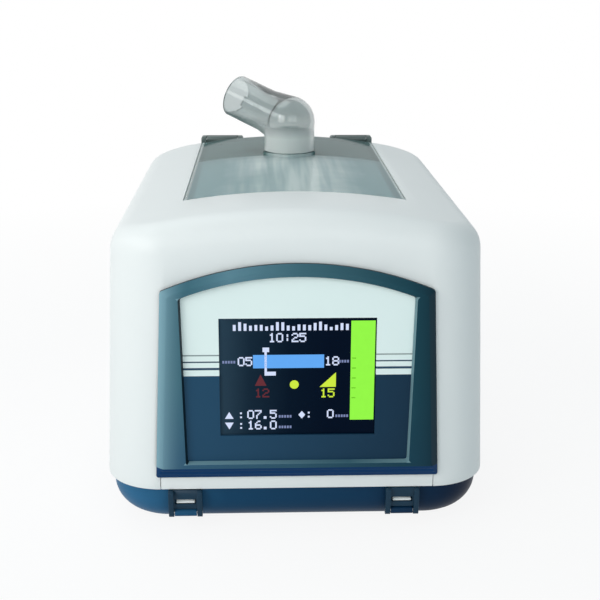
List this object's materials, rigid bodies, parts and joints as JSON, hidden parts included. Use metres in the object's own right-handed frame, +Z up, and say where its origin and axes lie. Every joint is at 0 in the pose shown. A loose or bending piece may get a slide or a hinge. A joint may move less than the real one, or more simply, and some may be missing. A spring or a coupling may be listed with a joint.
{
  "type": "cpap machine",
  "caption": "Table-top breathing-pressure machine with a raised framed screen, a clear hinged chamber lid on top, a swivelling clear hose elbow, two front latches and a blower inside.",
  "frame": {"origin": "centre of the casing's footprint on the table, at the bottom of the rubber feet", "axes": "+X to the user's right, +Y from the screen to the rear, +Z up"},
  "size_m": [0.1666, 0.22, 0.1778],
  "materials": {
    "white_plastic": "satin",
    "slate_plastic": "satin",
    "tray_plastic": "satin",
    "overlay_print": "satin",
    "display_glass": "gloss",
    "dark_hinge_plastic": "satin",
    "clear_plastic": "gloss",
    "well_plastic": "satin",
    "grey_plastic": "matte",
    "black_plastic": "matte",
    "circuit_board": "satin",
    "steel": "satin",
    "aluminium": "satin",
    "rubber": "matte",
    "silicone": "matte",
    "filter_foam": "matte"
  },
  "bodies": {
    "root": {"upper_casing": "white_plastic", "front_sill": "white_plastic", "front_bezel": "slate_plastic", "base_tray": "tray_plastic", "front_overlay": "overlay_print", "display_glass": "display_glass", "hinge_lug_left": "dark_hinge_plastic", "hinge_lug_right": "dark_hinge_plastic", "water_chamber": "clear_plastic", "humidifier_well": "well_plastic", "blower_volute_lower": "grey_plastic", "blower_volute_upper": "grey_plastic", "air_duct": "grey_plastic", "inlet_muffler": "grey_plastic", "power_inlet": "black_plastic", "switch_frame": "black_plastic", "board_parts": "black_plastic", "display_board": "circuit_board", "main_board": "circuit_board", "lid_hinge_pins": "steel", "latch_pins": "steel", "casing_screws": "steel", "lcd_module": "steel", "blower_motor": "steel", "heater_plate": "aluminium", "conducting_plate": "aluminium", "rubber_feet": "rubber", "blower_mounts": "rubber", "inlet_filter": "filter_foam"},
    "lid": {"chamber_lid": "clear_plastic", "lid_seal": "silicone", "lid_knuckle_left": "dark_hinge_plastic", "lid_knuckle_right": "dark_hinge_plastic"},
    "elbow": {"outlet_elbow": "clear_plastic"},
    "impeller": {"blower_impeller": "grey_plastic", "motor_shaft": "steel"},
    "filter_cover": {"filter_cover": "grey_plastic"},
    "rocker": {"power_switch": "black_plastic"},
    "latch_left": {"front_latch_left": "slate_plastic"},
    "latch_right": {"front_latch_right": "slate_plastic"}
  },
  "joints": [
    {"name": "lid_hinge", "type": "hinge", "parent": "root", "child": "lid", "pos_m": [0, 0.1, 0.1377], "axis": [-1, 0, 0], "range_deg": [0, 105]},
    {"name": "elbow_swivel", "type": "hinge", "parent": "lid", "child": "elbow", "pos_m": [0, 0.0377, 0.1493], "axis": [0, 0, 1], "continuous": true},
    {"name": "impeller_spin", "type": "hinge", "parent": "root", "child": "impeller", "pos_m": [-0.006, 0.012, 0.0293], "axis": [0, 0, -1], "continuous": true},
    {"name": "filter_cover_pull", "type": "slide", "parent": "root", "child": "filter_cover", "axis": [0, 1, 0], "range_m": [0, 0.025]},
    {"name": "power_rocker", "type": "hinge", "parent": "root", "child": "rocker", "pos_m": [-0.034, 0.105, 0.0369], "axis": [1, 0, 0], "range_deg": [0, 16]},
    {"name": "latch_left_swing", "type": "hinge", "parent": "root", "child": "latch_left", "pos_m": [-0.048, -0.1055, 0.0087], "axis": [1, 0, 0], "range_deg": [0, 35]},
    {"name": "latch_right_swing", "type": "hinge", "parent": "root", "child": "latch_right", "pos_m": [0.0452, -0.1055, 0.0087], "axis": [1, 0, 0], "range_deg": [0, 35]}
  ]
}
